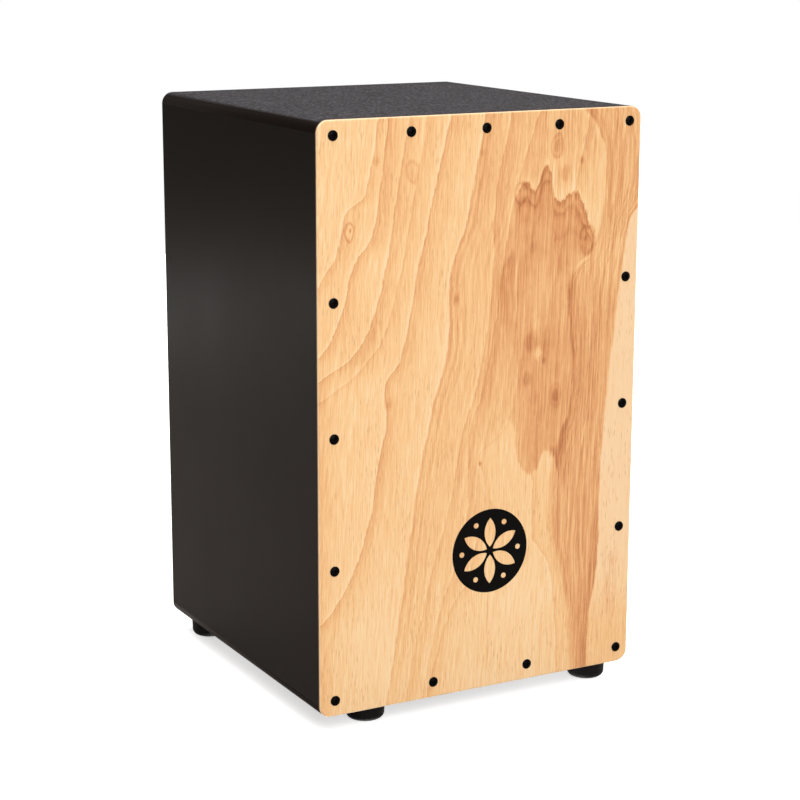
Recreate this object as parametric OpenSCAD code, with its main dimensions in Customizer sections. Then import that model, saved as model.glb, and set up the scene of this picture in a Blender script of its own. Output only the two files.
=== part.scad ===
// Cajon: a box drum that the player sits on and plays with both hands.
// Frame: +X to the viewer's right, -Y out of the playing face, +Z up.
// The origin is on the floor, at the middle of the whole drum's width and depth.

/* [Box] */
// Outside width of the box, side to side
box_w = 300; // [270:1:330]
// Depth of the box, from the playing face to the rear face
box_d = 308; // [280:1:340]
// Height of the box without its feet
box_h = 483; // [460:1:510]
// Thickness of the side, top and bottom panels
wall_t = 9; // [8:0.5:12]
// Radius of the long front-to-back edges and of the playing face's corners
corner_r = 10; // [8:0.5:12]
// Thickness of the rear panel
rear_t = 6; // [4:0.5:8]
// Width of the ledge that the rear panel is let into
rabbet_w = 5; // [4:0.5:6]
// Diameter of the sound hole in the rear panel
hole_d = 120; // [90:1:140]
// Height of the sound hole's centre above the bottom of the box
hole_z = 290; // [200:1:330]

/* [Playing face] */
// Thickness of the playing face
face_t = 3; // [2.5:0.1:4]
// Radius of the rounded front edge of the playing face
face_edge_r = 1.5; // [0.5:0.1:2]
// Mean distance of the screw columns from the sides of the box
screw_inset_x = 12.8; // [12.8:0.1:15]
// How far the whole pattern of screws sits right of the middle
screw_shift_x = 1; // [0:0.1:1]
// Distance of the top row of screws from the top of the box
screw_inset_top = 12; // [12:0.1:15]
// Distance of the bottom row of screws from the bottom of the box
screw_inset_bottom = 13.5; // [12:0.1:16]
// Number of screws in the top row
top_screws = 5; // [4:1:6]
// Number of screws in the bottom row
bottom_screws = 4; // [3:1:6]
// Height of the upper screw of each side column above the bottom of the box
column_top_z = 341; // [330:1:350]
// Spacing of the three screws in each side column
column_pitch = 108.9; // [100:0.1:112]

/* [Face screws] */
// Diameter of a face screw's head
face_head_d = 8.4; // [7.5:0.1:9]
// Height of a face screw's domed head
face_head_h = 1.9; // [1.6:0.1:2.2]
// Diameter of a face screw's shank
face_shank_d = 3.4; // [3:0.1:3.8]
// Length of a face screw under its head
face_screw_len = 18; // [14:1:20]

/* [Frame inside] */
// Width of the battens behind the playing face
batten_w = 18; // [16:1:20]
// Depth of the battens, front to back
batten_d = 20; // [19:1:25]
// Side of the glue blocks along the box's long edges
block_w = 16; // [12:1:20]

/* [Snares] */
// Height of the snare bar, bottom to top edge
bar_h = 36; // [34:1:42]
// Depth of the snare bar, front to back
bar_d = 12; // [10:1:16]
// Height of the snare bar's top edge above the bottom of the box
bar_top_z = 332; // [300:1:334]
// Distance of each snare's middle from the middle of the box
snare_x = 62; // [55:1:68]
// Lean of each snare outwards from upright, in degrees
snare_lean = 12; // [0:1:14]
// Number of wire strands in one snare
strands = 10; // [6:2:10]
// Distance between strands
strand_pitch = 5; // [4:0.5:5]
// Outside diameter of one coiled strand
strand_d = 2; // [1.6:0.1:2.2]
// Free length of a strand above its plate
strand_len = 120; // [80:1:120]

/* [Feet] */
// Height of a rubber foot
foot_h = 16; // [14:0.5:20]
// Diameter of a foot where it meets the box
foot_top_d = 33.4; // [30:0.1:36]
// Diameter of a foot above its rounded lower edge
foot_bottom_d = 32.4; // [28:0.1:33]
// Radius of a foot's rounded lower edge
foot_edge_r = 5; // [3:0.5:6]
// Front right foot: distance from the right side of the box
foot_fr_side = 27.7; // [24:0.1:60]
// Front right foot: distance from the playing face
foot_fr_face = 23; // [21:0.1:60]
// Front left foot: distance from the left side of the box
foot_fl_side = 54.5; // [24:0.1:60]
// Front left foot: distance from the playing face
foot_fl_face = 25.8; // [21:0.1:60]
// Rear feet: distance from the nearer side of the box
foot_rear_side = 25; // [24:0.1:60]
// Rear feet: distance from the rear of the box
foot_rear_back = 28; // [21:0.1:60]

/* [Hidden] */
$fn = 96;

// Planes of the box
over = 1;                                      // how far a cutting shape runs past a face
face_y = -(box_d + face_head_h) / 2 + face_head_h;
shell_y = face_y + face_t;
rear_y = face_y + box_d;
shell_d = rear_y - shell_y;
rear_inner_y = rear_y - rear_t;
top_z = foot_h + box_h;
inner_w = box_w - 2 * wall_t;
inner_h = box_h - 2 * wall_t;
rear_lip = wall_t - rabbet_w;                  // what the ledge leaves of each panel

// Screws of the playing face, as [x, z] with z from the bottom of the box
left_x = -box_w / 2 + screw_inset_x + screw_shift_x;
right_x = box_w / 2 - screw_inset_x + screw_shift_x;
column_screws = 3;
function screw_row(count, z) = [for (i = [0 : count - 1])
  [left_x + (right_x - left_x) * i / (count - 1), z]];
function screw_column(x) = [for (i = [0 : column_screws - 1]) [x, column_top_z - i * column_pitch]];
top_row = screw_row(top_screws, box_h - screw_inset_top);
bottom_row = screw_row(bottom_screws, screw_inset_bottom);
left_column = screw_column(left_x);
right_column = screw_column(right_x);
face_clearance = 1.2;                          // slack of the playing face's holes on the shank
pilot_gap = 0.1;                               // slack of a pilot hole on its screw
screw_point_d = 0.4;
face_rim_h = 0.5;                              // straight rim under the domed head
face_tip_len = 4;
face_cross = [4.6, 1.2, 1.1];                  // length, width and depth of the cross recess

// Snare: strand centres lie a little behind the playing face
strand_gap = 0.3;                              // clearance between strands and playing face
strand_y = shell_y + strand_gap + strand_d / 2;
rail_t = [2.0, 0.9];                           // rail behind and in front of the strand centres
rail_h = 6;
rail_gap = 0.4;                                // between the rail and the strands' lower ends
plate_margin = 1.5;                            // of the plate past its outer strands
plate_w = (strands - 1) * strand_pitch + strand_d + 2 * plate_margin;
plate_h = 22;
plate_t = 0.8;
plate_hole_x = 15;
plate_hole_y = 8;                              // from the plate's lower edge
plate_hole_d = 3.2;
bar_y = strand_y + rail_t[0];
bar_len = inner_w - 2 * batten_w;
hinge_drop = 5;                                // from the bar's top edge to the strands' lower ends
hinge_z = foot_h + bar_top_z - hinge_drop;
plate_shank_d = 2.9;
plate_screw_len = 10;
plate_head_d = 5.6;
plate_head_h = 1.2;
plate_tip_len = 2.5;

// Foot parts
foot_recess_d = 12;
foot_recess_h = 6;
foot_bore_d = 4.6;
washer_t = 1;
foot_shank_d = 4;
foot_screw_len = 19;
foot_head_d = 8;
foot_head_h = 2.4;
foot_tip_len = 4;
foot_cross = [4.4, 1.2, 1.3];
foot_head_z = foot_recess_h - washer_t;        // underside of a foot screw's head
washer_d = 11.6;
washer_bore_d = 4.4;
foot_fl = [-box_w / 2 + foot_fl_side, face_y + foot_fl_face];
foot_fr = [box_w / 2 - foot_fr_side, face_y + foot_fr_face];
foot_rl = [-box_w / 2 + foot_rear_side, rear_y - foot_rear_back];
foot_rr = [box_w / 2 - foot_rear_side, rear_y - foot_rear_back];
feet = [foot_fl, foot_fr, foot_rl, foot_rr];
foot_pilot_h = foot_head_z + foot_screw_len - foot_h + pilot_gap;

black_paint = [0.10, 0.09, 0.09];
pale_veneer = [0.93, 0.77, 0.56];
raw_mdf = [0.62, 0.49, 0.35];
pine = [0.85, 0.70, 0.48];
steel = [0.70, 0.71, 0.73];
black_screw = [0.06, 0.06, 0.06];
black_rubber = [0.05, 0.05, 0.05];

// ---- Shared shapes ----

// A rectangle with round corners, centred on X and standing on y = low
module round_rect(w, low, high, r) {
  difference() {
    translate([-w / 2, low]) square([w, high - low]);
    for (x = [0, 1], y = [0, 1])
      mirror([x, 0]) translate([w / 2 - r, y ? high - r : low + r]) mirror([0, 1 - y])
        difference() {
          square(r + over);
          circle(r);
        }
  }
}

// Stands a flat drawing up in XZ and gives it a depth from y_back forwards
module upright(y_back, depth) {
  translate([0, y_back, foot_h]) rotate([90, 0, 0]) linear_extrude(depth) children();
}

// Puts children on a front-facing plane: their +Z points out of the playing face
module on_plane(x, y, z) {
  translate([x, y, z]) rotate([90, 0, 0]) children();
}

// The pocket round the back of the box that the rear panel sits in
module rear_outline() {
  round_rect(box_w - 2 * rear_lip, rear_lip, box_h - rear_lip, corner_r - rear_lip);
}

// A box panel with mitred ends, cut from the rounded outline by a four-sided wedge
module shell_panel(wedge) {
  difference() {
    upright(rear_y, shell_d) intersection() {
      round_rect(box_w, 0, box_h, corner_r);
      polygon(wedge);
    }
    upright(rear_y + over, rear_t + over) rear_outline();
  }
}

// A wood screw standing with the underside of its head at z = 0 and its point down
module wood_screw(shank_d, length, tip_len) {
  translate([0, 0, -length + tip_len]) cylinder(h = length - tip_len, d = shank_d);
  translate([0, 0, -length]) cylinder(h = tip_len, d1 = screw_point_d, d2 = shank_d);
}

// A low domed head with a straight rim
module domed_head(head_d, head_h, rim_h) {
  cap_h = head_h - rim_h;
  cap_r = (head_d * head_d / 4 + cap_h * cap_h) / (2 * cap_h);
  intersection() {
    cylinder(h = head_h + over, d = head_d);
    translate([0, 0, head_h - cap_r]) sphere(cap_r);
  }
}

// The cross-shaped driver recess, cut down from the top of a head
module cross_recess(size, head_h) {
  for (turn = [0, 90]) rotate(turn)
    translate([-size[0] / 2, -size[1] / 2, head_h - size[2]])
      cube([size[0], size[1], size[2] + over]);
}

// ---- Playing face ----

// Section of the plate's rim, from the corner circle's centre outwards
module face_rim() {
  difference() {
    square([corner_r, face_t]);
    translate([corner_r - face_edge_r, face_t - face_edge_r]) difference() {
      square(face_edge_r + over);
      circle(face_edge_r);
    }
  }
}

module face_strip(length) {
  rotate([90, 0, 90]) linear_extrude(length) face_rim();
}

// The plate lying on its back, centred, with its rounded front edge upwards
module face_blank() {
  w = box_w - 2 * corner_r;
  h = box_h - 2 * corner_r;
  translate([-w / 2, -h / 2, 0]) cube([w, h, face_t]);
  for (turn = [0, 180]) {
    rotate(turn) translate([-w / 2, h / 2, 0]) face_strip(w);
    rotate(turn + 90) translate([-h / 2, w / 2, 0]) face_strip(h);
    rotate(turn) translate([w / 2, h / 2, 0]) rotate_extrude(angle = 90) face_rim();
    rotate(turn) translate([-w / 2, h / 2, 0]) rotate(90) rotate_extrude(angle = 90) face_rim();
  }
}

module front_plate() {
  color(pale_veneer) difference() {
    on_plane(0, shell_y, foot_h + box_h / 2) face_blank();
    for (p = concat(top_row, bottom_row, left_column, right_column))
      on_plane(p[0], shell_y, foot_h + p[1])
        translate([0, 0, -over]) cylinder(h = face_t + 2 * over, d = face_shank_d + face_clearance);
  }
}

module face_screws(places) {
  color(black_screw) for (p = places)
    on_plane(p[0], face_y, foot_h + p[1]) {
      difference() {
        domed_head(face_head_d, face_head_h, face_rim_h);
        cross_recess(face_cross, face_head_h);
      }
      wood_screw(face_shank_d, face_screw_len, face_tip_len);
    }
}

module face_screws_top() { face_screws(top_row); }
module face_screws_bottom() { face_screws(bottom_row); }
module face_screws_left() { face_screws(left_column); }
module face_screws_right() { face_screws(right_column); }

// ---- Box ----

// Wedge of a side panel, from the lower to the upper mitre; side is -1 left, 1 right
function side_wedge(side) = [
  [side * (box_w / 2 + over), -over], [side * inner_w / 2, wall_t],
  [side * inner_w / 2, box_h - wall_t], [side * (box_w / 2 + over), box_h + over]];

// Wedge of the top or bottom panel between its mitres
function level_wedge(outer_z, inner_z) = [
  [-box_w / 2 - over, outer_z], [-inner_w / 2, inner_z],
  [inner_w / 2, inner_z], [box_w / 2 + over, outer_z]];

module left_side_panel() { color(black_paint) shell_panel(side_wedge(-1)); }
module right_side_panel() { color(black_paint) shell_panel(side_wedge(1)); }
module top_panel() { color(black_paint) shell_panel(level_wedge(box_h + over, box_h - wall_t)); }

module bottom_panel() {
  color(black_paint) difference() {
    shell_panel(level_wedge(-over, wall_t));
    for (p = feet) translate([p[0], p[1], foot_h - over])
      cylinder(h = foot_pilot_h + over, d = foot_shank_d + pilot_gap);
  }
}

module rear_panel() {
  color(black_paint) upright(rear_y, rear_t) difference() {
    rear_outline();
    translate([0, hole_z]) circle(d = hole_d);
  }
}

// ---- Frame inside ----

// A batten behind the playing face, from its low corner, with pilot holes at the screws
module batten(x, z, w, h, screws) {
  color(pine) difference() {
    translate([x, shell_y, foot_h + z]) cube([w, batten_d, h]);
    for (p = screws) on_plane(p[0], shell_y + face_screw_len - face_t + pilot_gap, foot_h + p[1])
      cylinder(h = face_screw_len, d = face_shank_d + pilot_gap);
  }
}

module front_batten_top() {
  batten(-inner_w / 2, box_h - wall_t - batten_w, inner_w, batten_w, top_row);
}
module front_batten_bottom() {
  batten(-inner_w / 2, wall_t, inner_w, batten_w, bottom_row);
}
module front_batten_left() {
  batten(-inner_w / 2, wall_t + batten_w, batten_w, inner_h - 2 * batten_w, left_column);
}
module front_batten_right() {
  batten(inner_w / 2 - batten_w, wall_t + batten_w, batten_w, inner_h - 2 * batten_w, right_column);
}

// A glue block in one of the box's long inner corners, with its inner edge planed off
module glue_block(side, top) {
  plane_off = block_w / 3;
  color(pine) upright(rear_inner_y, rear_inner_y - shell_y - batten_d)
    translate([side * inner_w / 2, top ? box_h - wall_t : wall_t])
      mirror([side > 0 ? 1 : 0, 0]) mirror([0, top ? 1 : 0])
        polygon([[0, 0], [block_w, 0], [block_w, block_w - plane_off],
          [block_w - plane_off, block_w], [0, block_w]]);
}

module glue_block_top_left() { glue_block(-1, true); }
module glue_block_top_right() { glue_block(1, true); }
module glue_block_bottom_left() { glue_block(-1, false); }
module glue_block_bottom_right() { glue_block(1, false); }

// ---- Snares ----

// Puts children at a snare's hinge line: +Y runs up along the strands, +Z to the playing face
module at_snare(side) {
  on_plane(side * snare_x, strand_y, hinge_z) rotate(-side * snare_lean) children();
}

// The two screw places of a snare plate, on the bar's front face
module at_plate_holes() {
  for (x = [-plate_hole_x, plate_hole_x])
    translate([x, -rail_gap - plate_h + plate_hole_y, -rail_t[0] + plate_t]) children();
}

module snare_bar() {
  color(pine) difference() {
    translate([-bar_len / 2, bar_y, foot_h + bar_top_z - bar_h]) cube([bar_len, bar_d, bar_h]);
    for (side = [-1, 1]) at_snare(side) at_plate_holes()
      translate([0, 0, -plate_screw_len - pilot_gap])
        cylinder(h = plate_screw_len + pilot_gap, d = plate_shank_d + pilot_gap);
  }
}

// A thin plate with a thick rail along its top edge, which holds the strands' lower ends
module snare_plate(side) {
  color(steel) at_snare(side) difference() {
    union() {
      translate([-plate_w / 2, -rail_gap - plate_h, -rail_t[0]]) cube([plate_w, plate_h, plate_t]);
      translate([-plate_w / 2, -rail_gap - rail_h, -rail_t[0]])
        cube([plate_w, rail_h, rail_t[0] + rail_t[1]]);
    }
    at_plate_holes() translate([0, 0, -plate_t - over])
      cylinder(h = plate_t + 2 * over, d = plate_hole_d);
  }
}

module snare_plate_left() { snare_plate(-1); }
module snare_plate_right() { snare_plate(1); }

module snare_plate_screws() {
  color(steel) for (side = [-1, 1]) at_snare(side) at_plate_holes() {
    domed_head(plate_head_d, plate_head_h, plate_head_h / 3);
    wood_screw(plate_shank_d, plate_screw_len, plate_tip_len);
  }
}

// The strands of one snare, as plain rods of the coils' outside diameter
module snare_wires(side) {
  color(steel) at_snare(side) for (i = [0 : strands - 1])
    translate([(i - (strands - 1) / 2) * strand_pitch, 0, 0])
      rotate([-90, 0, 0]) cylinder(h = strand_len, d = strand_d);
}

module snare_wires_left() { snare_wires(-1); }
module snare_wires_right() { snare_wires(1); }

// ---- Feet ----

module foot(p) {
  color(black_rubber) translate([p[0], p[1], 0]) difference() {
    rotate_extrude() difference() {
      polygon([[0, 0], [foot_bottom_d / 2, 0], [foot_bottom_d / 2, foot_edge_r],
        [foot_top_d / 2, foot_h], [0, foot_h]]);
      translate([foot_bottom_d / 2 - foot_edge_r, 0]) difference() {
        translate([0, -over]) square([foot_edge_r + over, foot_edge_r + over]);
        translate([0, foot_edge_r]) circle(foot_edge_r);
      }
    }
    translate([0, 0, -over]) cylinder(h = foot_recess_h + over, d = foot_recess_d);
    cylinder(h = foot_h + over, d = foot_bore_d);
  }
}

module foot_front_left() { foot(foot_fl); }
module foot_front_right() { foot(foot_fr); }
module foot_rear_left() { foot(foot_rl); }
module foot_rear_right() { foot(foot_rr); }

module foot_washers() {
  color(steel) for (p = feet) translate([p[0], p[1], foot_head_z]) difference() {
    cylinder(h = washer_t, d = washer_d);
    translate([0, 0, -over]) cylinder(h = washer_t + 2 * over, d = washer_bore_d);
  }
}

module foot_screws() {
  color(steel) for (p = feet) translate([p[0], p[1], foot_head_z]) mirror([0, 0, 1]) {
    difference() {
      domed_head(foot_head_d, foot_head_h, foot_head_h / 3);
      cross_recess(foot_cross, foot_head_h);
    }
    wood_screw(foot_shank_d, foot_screw_len, foot_tip_len);
  }
}

front_plate();
left_side_panel();
right_side_panel();
top_panel();
bottom_panel();
rear_panel();
front_batten_left();
front_batten_right();
front_batten_top();
front_batten_bottom();
glue_block_top_left();
glue_block_top_right();
glue_block_bottom_left();
glue_block_bottom_right();
face_screws_top();
face_screws_bottom();
face_screws_left();
face_screws_right();
snare_bar();
snare_plate_left();
snare_plate_right();
snare_plate_screws();
snare_wires_left();
snare_wires_right();
foot_front_left();
foot_front_right();
foot_rear_left();
foot_rear_right();
foot_washers();
foot_screws();
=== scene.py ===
"""Looks of the cajon: playing face, box, screws, feet and snares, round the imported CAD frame."""
import math

import bpy
import bmesh
from mathutils import Matrix, Vector


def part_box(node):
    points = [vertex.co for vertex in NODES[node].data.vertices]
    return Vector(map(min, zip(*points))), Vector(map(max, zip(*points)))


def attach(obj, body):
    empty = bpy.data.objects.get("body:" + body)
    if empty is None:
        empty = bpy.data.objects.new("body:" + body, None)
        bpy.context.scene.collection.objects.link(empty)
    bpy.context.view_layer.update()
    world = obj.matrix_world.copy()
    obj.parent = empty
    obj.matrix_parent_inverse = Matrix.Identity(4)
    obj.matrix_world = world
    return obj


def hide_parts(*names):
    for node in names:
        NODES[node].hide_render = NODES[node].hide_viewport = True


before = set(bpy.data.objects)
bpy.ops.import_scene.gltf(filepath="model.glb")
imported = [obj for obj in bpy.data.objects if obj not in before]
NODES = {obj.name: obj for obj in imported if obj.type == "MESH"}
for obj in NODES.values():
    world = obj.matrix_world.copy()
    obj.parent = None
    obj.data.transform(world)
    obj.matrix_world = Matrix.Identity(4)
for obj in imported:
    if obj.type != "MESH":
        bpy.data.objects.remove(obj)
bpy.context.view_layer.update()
MM = 0.001

# Corners that the looks hang on, in metres, and the size of the playing face in millimetres
FACE_LOW, FACE_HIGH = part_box("front_plate")
SIDE_LOW, SIDE_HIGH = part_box("left_side_panel")
TOP_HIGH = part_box("top_panel")[1]
REAR_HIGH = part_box("rear_panel")[1]
PLATE_H = (FACE_HIGH.z - FACE_LOW.z) / MM
PLATE_W = (FACE_HIGH.x - FACE_LOW.x) / MM


# ---------------------------------------------------------------- camera and stage

# Camera: angles in degrees, distance and aim in metres, lens and film in millimetres
CAMERA_AZIMUTH, CAMERA_ELEVATION, CAMERA_ROLL = -28.67, 12.87, 0.15
CAMERA_DISTANCE = 1.6584
CAMERA_AIM = Vector((-0.077, FACE_LOW.y, 0.2737))
CAMERA_LENS, CAMERA_FILM = 93.37, 36

# Floor: its radius in metres, the colour that the camera sees, the colour that lights the object, and the
# glow that lifts it to white. FLOOR_HOLE is half the side of a square hole for the light of a lamp below
FLOOR_RADIUS = 3.0
FLOOR_SEEN = (0.95, 0.95, 0.95)
FLOOR_LIT = (0.50, 0.455, 0.41)
FLOOR_GLOW = 0.6
FLOOR_HOLE = 0.149

# The studio round it, in the same two colours
STUDIO_SEEN = (1, 1, 1)
STUDIO_LIT = (0.17, 0.155, 0.145)

# Softboxes: (name, place, aim, width, height, power in watts), in metres
SOFTBOXES = [
    ("key", (-0.5, -2.2, 1.5), (0, 0, 0.25), 1.6, 1.6, 45),
    ("top", (0.1, 0.4, 2.2), (0, 0, 0.3), 1.8, 1.8, 20),
    ("rear", (0.9, 2.2, 0.1), (0, 0, 0.25), 1.4, 0.7, 50),
    ("right", (2.2, 0.75, 0.1), (0, 0, 0.25), 1.5, 0.7, 44),
    ("under", (0, 0, -0.5), (0, 0, 0), 0.26, 0.26, 5),
    ("right_top", (2.4, 0.5, 1.3), (0, 0, 0.25), 1.2, 1.2, 12),
    ("side", (-0.95, 1.35, 0.03), (-0.15, 0.1, 0.10), 1.4, 0.08, 0.7),
]
# The sun's strength, and how far its light spreads, in degrees
SUN_POWER, SUN_SPREAD = 1.5, 80


def make_camera():
    """The camera stands to the left of the playing face and looks slightly down at it."""
    azimuth = math.radians(CAMERA_AZIMUTH)
    elevation = math.radians(CAMERA_ELEVATION)
    back = Vector((math.sin(azimuth) * math.cos(elevation),
                   -math.cos(azimuth) * math.cos(elevation), math.sin(elevation)))
    camera = bpy.data.objects.new("camera", bpy.data.cameras.new("camera"))
    camera.data.lens = CAMERA_LENS
    camera.data.sensor_width = CAMERA_FILM
    camera.matrix_world = (Matrix.Translation(CAMERA_AIM + back * CAMERA_DISTANCE)
                           @ (-back).to_track_quat("-Z", "Y").to_matrix().to_4x4()
                           @ Matrix.Rotation(math.radians(CAMERA_ROLL), 4, "Z"))
    bpy.context.scene.collection.objects.link(camera)
    bpy.context.scene.camera = camera


def add_softbox(name, place, aim, width, height, power):
    """An area light at place, facing aim, unseen by the camera."""
    light = bpy.data.lights.new(name, "AREA")
    light.shape = "RECTANGLE"
    light.size = width
    light.size_y = height
    light.energy = power
    lamp = bpy.data.objects.new(name, light)
    lamp.location = place
    lamp.rotation_euler = (Vector(aim) - Vector(place)).to_track_quat("-Z", "Y").to_euler()
    lamp.visible_camera = False
    bpy.context.scene.collection.objects.link(lamp)


def add_sun():
    """Even soft light from overhead."""
    light = bpy.data.lights.new("overhead", "SUN")
    light.energy = SUN_POWER
    light.angle = math.radians(SUN_SPREAD)
    bpy.context.scene.collection.objects.link(bpy.data.objects.new("overhead", light))


def colour_sockets(sockets):
    """The sockets of a mix node that carry colours."""
    return [socket for socket in sockets if socket.type == "RGBA"]


def seen_or_lit(tree, seen, lit):
    """A colour that the camera sees, and another that lights the object."""
    path = tree.nodes.new("ShaderNodeLightPath")
    choice = tree.nodes.new("ShaderNodeMix")
    choice.data_type = "RGBA"
    for socket, colour in zip(colour_sockets(choice.inputs), (lit, seen)):
        socket.default_value = (*colour, 1)
    tree.links.new(path.outputs["Is Camera Ray"], choice.inputs["Factor"])
    return colour_sockets(choice.outputs)[0]


def make_world():
    """White where the camera looks past the floor, and a dim warm grey as light."""
    world = bpy.data.worlds.new("studio")
    world.use_nodes = True
    tree = world.node_tree
    colour = seen_or_lit(tree, STUDIO_SEEN, STUDIO_LIT)
    tree.links.new(colour, tree.nodes["Background"].inputs["Color"])
    bpy.context.scene.world = world


def make_floor():
    """A round pale floor whose edge fades into the white of the studio, clear from below."""
    mesh = bpy.data.meshes.new("floor")
    shape = bmesh.new()
    bmesh.ops.create_circle(shape, cap_ends=True, segments=128, radius=FLOOR_RADIUS)
    shape.to_mesh(mesh)
    shape.free()
    floor = bpy.data.objects.new("floor", mesh)
    bpy.context.scene.collection.objects.link(floor)
    paint = Paint("floor", Roughness=0.9, Specular_IOR_Level=0.1, Emission_Strength=1.0)
    paint.set("Base Color", seen_or_lit(paint.tree, FLOOR_SEEN, FLOOR_LIT))
    paint.set("Emission Color", seen_or_lit(paint.tree, (FLOOR_GLOW,) * 3, (0, 0, 0)))

    # The camera sees through it from below, and the lamp under it shines through its hole
    where = paint.node("ShaderNodeNewGeometry")
    x, y, z = paint.split(where.outputs["Position"])
    away = (x * x + y * y + z * z).op("SQRT")
    shadow_ray = Num(paint, paint.node("ShaderNodeLightPath").outputs["Is Shadow Ray"])
    hole = abs(x).most(abs(y)).op("LESS_THAN", FLOOR_HOLE) * shadow_ray
    clear = hole + Num(paint, where.outputs["Backfacing"])
    paint.set("Alpha", (away.rise(FLOOR_RADIUS, FLOOR_RADIUS * 0.3) - clear).most(0.0))
    mesh.materials.append(paint.material)


# ---------------------------------------------------------------- a short way to write materials

class Num:
    """A number worked out by a material's nodes, with ordinary arithmetic."""

    def __init__(self, paint, socket):
        self.paint = paint
        self.socket = socket

    def op(self, name, *others):
        """The result of a math node whose inputs are this number and the others."""
        node = self.paint.node("ShaderNodeMath", operation=name)
        for socket, value in zip(node.inputs, (self, *others)):
            self.paint.feed(socket, value)
        return Num(self.paint, node.outputs[0])

    def __add__(self, other):
        return self.op("ADD", other)

    def __radd__(self, other):
        return self.op("ADD", other)

    def __sub__(self, other):
        return self.op("SUBTRACT", other)

    def __rsub__(self, other):
        return (-self).op("ADD", other)

    def __mul__(self, other):
        return self.op("MULTIPLY", other)

    def __truediv__(self, other):
        return self.op("DIVIDE", other)

    def __neg__(self):
        return self.op("MULTIPLY", -1.0)

    def __abs__(self):
        return self.op("ABSOLUTE")

    def most(self, other):
        """The larger of the two."""
        return self.op("MAXIMUM", other)

    def decay(self, width):
        """1 at 0 and down to 0.37 at width, for values from 0 up."""
        return (self.most(0.0) * (-1 / width)).op("EXPONENT")

    def rise(self, low, high):
        """0 below low, 1 above high, smooth between; the other way round if low is above high."""
        paint = self.paint
        node = paint.node("ShaderNodeMapRange", interpolation_type="SMOOTHSTEP")
        flip = low > high
        if flip:
            low, high = high, low
        inputs = {"Value": self, "From Min": low, "From Max": high,
                  "To Min": float(flip), "To Max": float(not flip)}
        for name, value in inputs.items():
            paint.feed(node.inputs[name], value)
        return Num(paint, node.outputs["Result"])

    def within(self, start, full, fade, end):
        """1 from full to fade, and 0 below start and above end."""
        return self.rise(start, full) * self.rise(end, fade)

    def stripe(self, at, core, reach):
        """1 within core of a value, and 0 from reach on."""
        return abs(self - at).rise(reach, core)


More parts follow.
